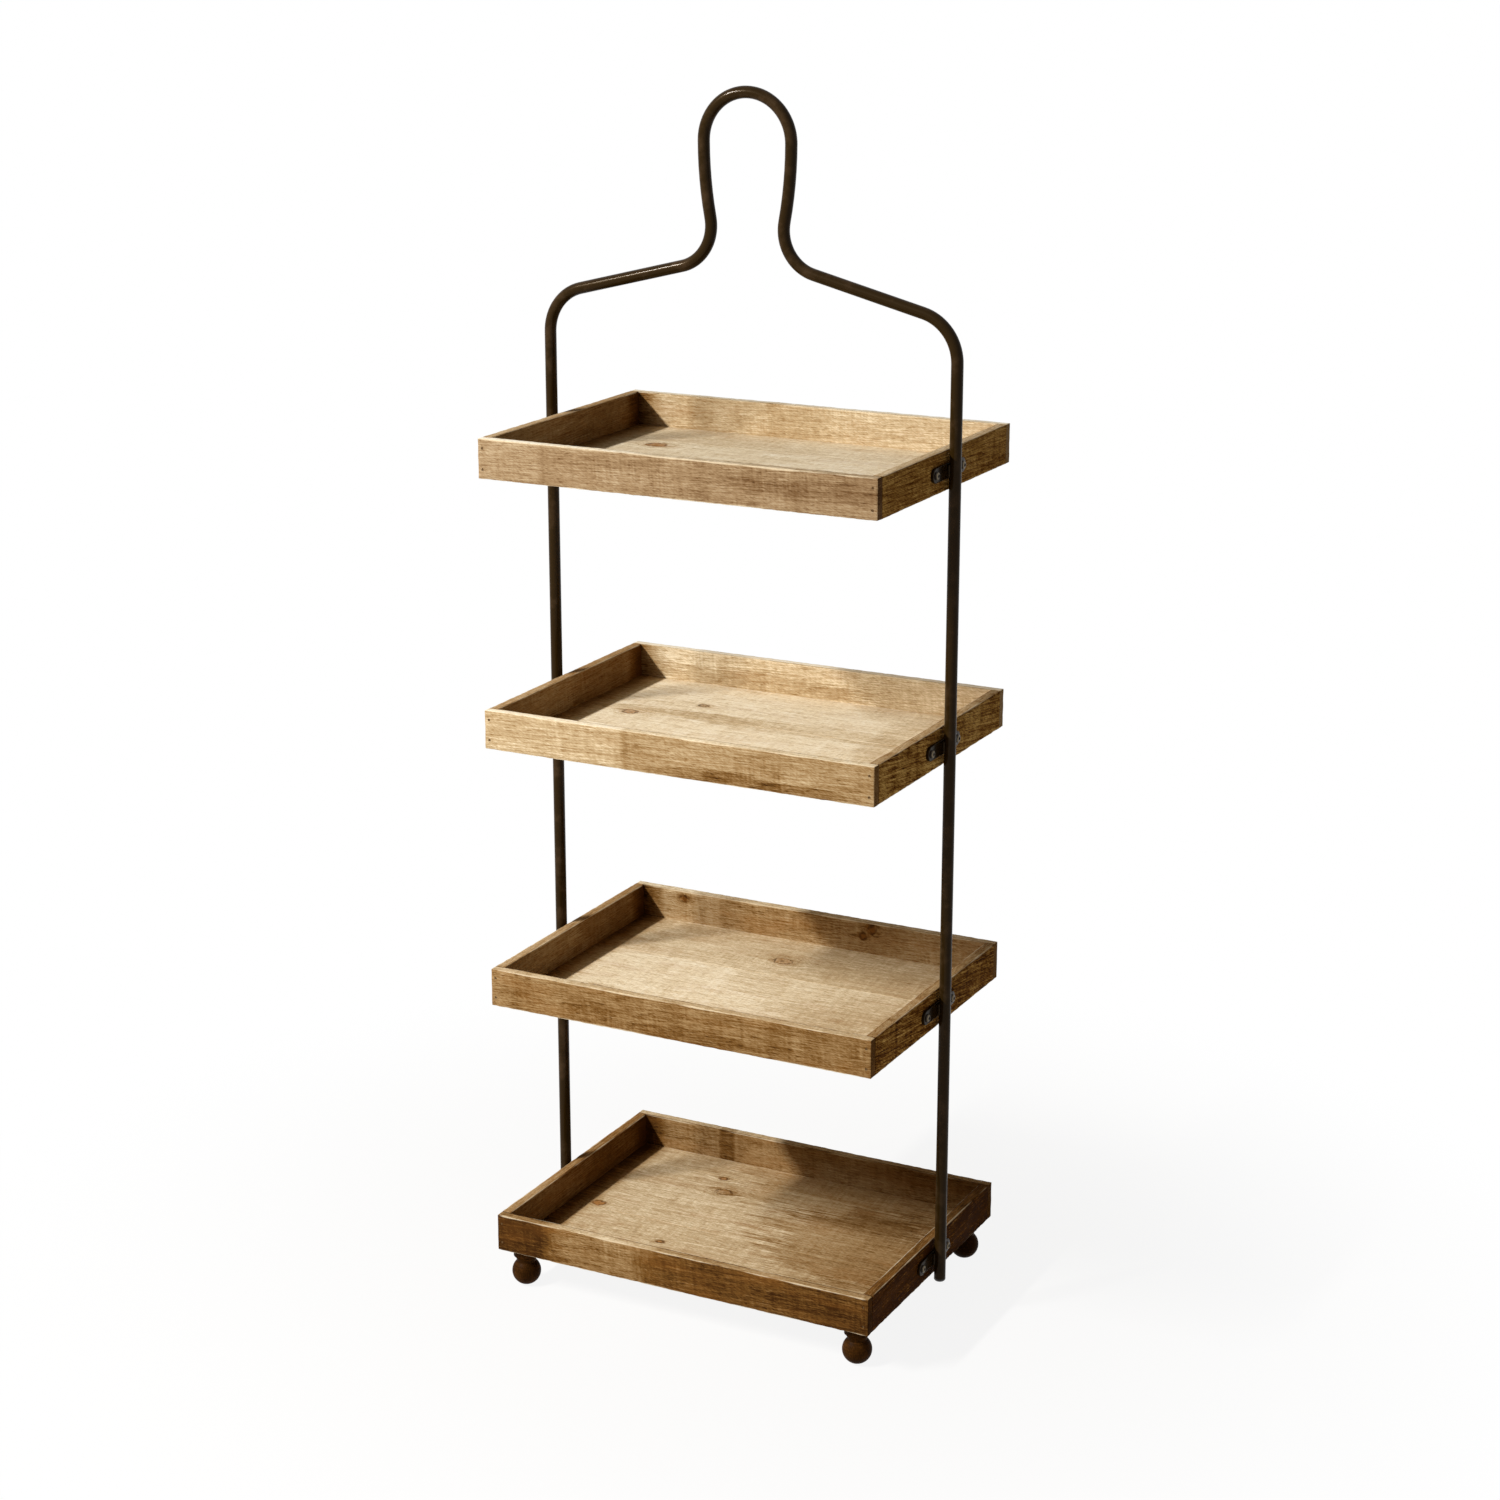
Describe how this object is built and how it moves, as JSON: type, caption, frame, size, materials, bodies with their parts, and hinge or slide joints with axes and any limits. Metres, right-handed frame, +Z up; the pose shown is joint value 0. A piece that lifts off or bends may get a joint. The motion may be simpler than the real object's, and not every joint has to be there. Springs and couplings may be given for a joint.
{
  "type": "shelving unit",
  "caption": "Free-standing display shelf: open wooden trays screwed between the legs of a bent steel tube frame that rises into a loop handle, standing on turned ball feet.",
  "frame": {"origin": "on the floor under the middle of the shelf", "axes": "+Z up, front of the trays towards -Y, +X to the right seen from the front"},
  "size_m": [0.5344, 0.364, 1.4437],
  "materials": {
    "rail_wood": "rough-sawn pine with a honey-brown wipe stain, matt",
    "floor_wood": "rough-sawn pine with a honey-brown wipe stain, matt",
    "foot_wood": "turned hardwood with a dark stain, satin",
    "tube_paint": "dark bronze powder coat, satin",
    "strap_paint": "dark bronze powder coat, satin",
    "screw_finish": "blackened steel, worn bright on the rim",
    "brad_steel": "dull steel",
    "plug_plastic": "matt black"
  },
  "bodies": {
    "root": {"frame_tube": "tube_paint", "left_leg_plug": "plug_plastic", "right_leg_plug": "plug_plastic", "bottom_tray_floor": "floor_wood", "bottom_tray_front_rail": "rail_wood", "bottom_tray_back_rail": "rail_wood", "bottom_tray_left_rail": "rail_wood", "bottom_tray_right_rail": "rail_wood", "bottom_tray_left_strap": "strap_paint", "bottom_tray_right_strap": "strap_paint", "bottom_tray_left_strap_screws": "screw_finish", "bottom_tray_right_strap_screws": "screw_finish", "bottom_tray_corner_brads": "brad_steel", "bottom_tray_floor_brads": "brad_steel", "lower_tray_floor": "floor_wood", "lower_tray_front_rail": "rail_wood", "lower_tray_back_rail": "rail_wood", "lower_tray_left_rail": "rail_wood", "lower_tray_right_rail": "rail_wood", "lower_tray_left_strap": "strap_paint", "lower_tray_right_strap": "strap_paint", "lower_tray_left_strap_screws": "screw_finish", "lower_tray_right_strap_screws": "screw_finish", "lower_tray_corner_brads": "brad_steel", "lower_tray_floor_brads": "brad_steel", "upper_tray_floor": "floor_wood", "upper_tray_front_rail": "rail_wood", "upper_tray_back_rail": "rail_wood", "upper_tray_left_rail": "rail_wood", "upper_tray_right_rail": "rail_wood", "upper_tray_left_strap": "strap_paint", "upper_tray_right_strap": "strap_paint", "upper_tray_left_strap_screws": "screw_finish", "upper_tray_right_strap_screws": "screw_finish", "upper_tray_corner_brads": "brad_steel", "upper_tray_floor_brads": "brad_steel", "top_tray_floor": "floor_wood", "top_tray_front_rail": "rail_wood", "top_tray_back_rail": "rail_wood", "top_tray_left_rail": "rail_wood", "top_tray_right_rail": "rail_wood", "top_tray_left_strap": "strap_paint", "top_tray_right_strap": "strap_paint", "top_tray_left_strap_screws": "screw_finish", "top_tray_right_strap_screws": "screw_finish", "top_tray_corner_brads": "brad_steel", "top_tray_floor_brads": "brad_steel", "front_left_foot": "foot_wood", "front_right_foot": "foot_wood", "back_left_foot": "foot_wood", "back_right_foot": "foot_wood", "foot_bolts": "brad_steel"}
  },
  "joints": []
}
